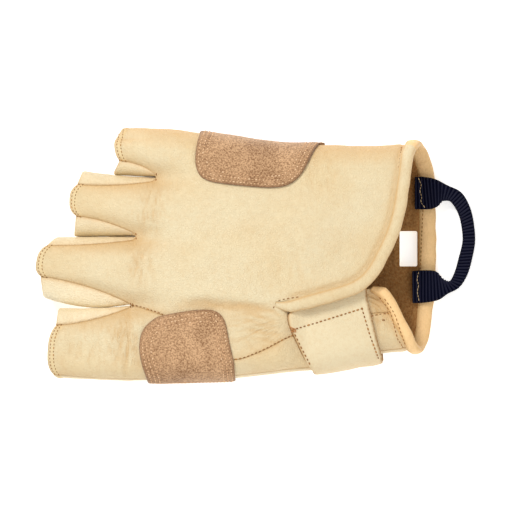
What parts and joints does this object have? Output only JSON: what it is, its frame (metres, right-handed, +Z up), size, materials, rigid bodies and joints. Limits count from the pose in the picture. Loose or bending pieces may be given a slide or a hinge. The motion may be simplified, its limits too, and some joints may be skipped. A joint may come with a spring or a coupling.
{
  "type": "glove",
  "caption": "Fingerless leather rope-work glove, right hand, with suede patches, a wrapping wrist flap and tab, and a webbing pull loop at the cuff.",
  "frame": {"origin": "middle of the box that holds the glove, on the surface that it lies on", "axes": "+X from the fingers to the wrist, +Y to the pinky side, +Z up out of the back of the hand"},
  "size_m": [0.2026, 0.118, 0.0387],
  "materials": {
    "grain_leather": "smooth pale straw grain leather, soft satin",
    "palm_leather": "pale straw grain leather, brown flesh side inside",
    "gusset_leather": "soft pale straw grain leather",
    "binding_leather": "turned and rolled grain leather edge",
    "tab_leather": "grain leather strap with raw edges",
    "suede": "tan suede, two rows of stitching",
    "hook_pad": "plain hook-and-loop pad, hidden",
    "webbing": "dark navy ribbed webbing"
  },
  "bodies": {
    "root": {"back_panel": "grain_leather", "index_panel": "grain_leather", "palm_panel": "palm_leather", "pinky_ring_gusset": "gusset_leather", "ring_middle_gusset": "gusset_leather", "middle_index_gusset": "gusset_leather", "thumb": "palm_leather", "flap_binding": "binding_leather", "cuff_binding": "binding_leather", "palm_patch": "suede", "thumb_patch": "suede", "wrist_tab": "tab_leather", "closure_pad": "hook_pad", "pull_loop": "webbing"}
  },
  "joints": []
}
